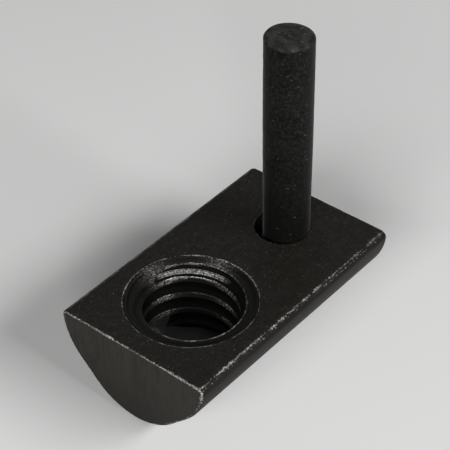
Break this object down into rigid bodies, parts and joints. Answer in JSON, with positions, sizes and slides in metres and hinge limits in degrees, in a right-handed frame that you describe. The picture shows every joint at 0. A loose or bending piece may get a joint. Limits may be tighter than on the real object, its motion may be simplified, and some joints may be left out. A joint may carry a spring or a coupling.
{
  "type": "t slot nut",
  "caption": "Roll-in slot nut for an aluminium profile: flat clamping face, round belly, countersunk tapped hole and a soft rod handle standing in a second hole.",
  "frame": {"origin": "where the thread axis meets the flat clamping face", "axes": "+Z out of the clamping face along the thread axis, +X along the nut towards the handle, +Y across the nut"},
  "size_m": [0.02, 0.012, 0.0219],
  "materials": {
    "black_steel": "black oxide over drawn and sawn steel, worn bright on the edges",
    "soft_rubber": "matte charcoal rubber with fine marks round it"
  },
  "bodies": {
    "root": {"nut_body": "black_steel", "flex_handle": "soft_rubber"}
  },
  "joints": []
}
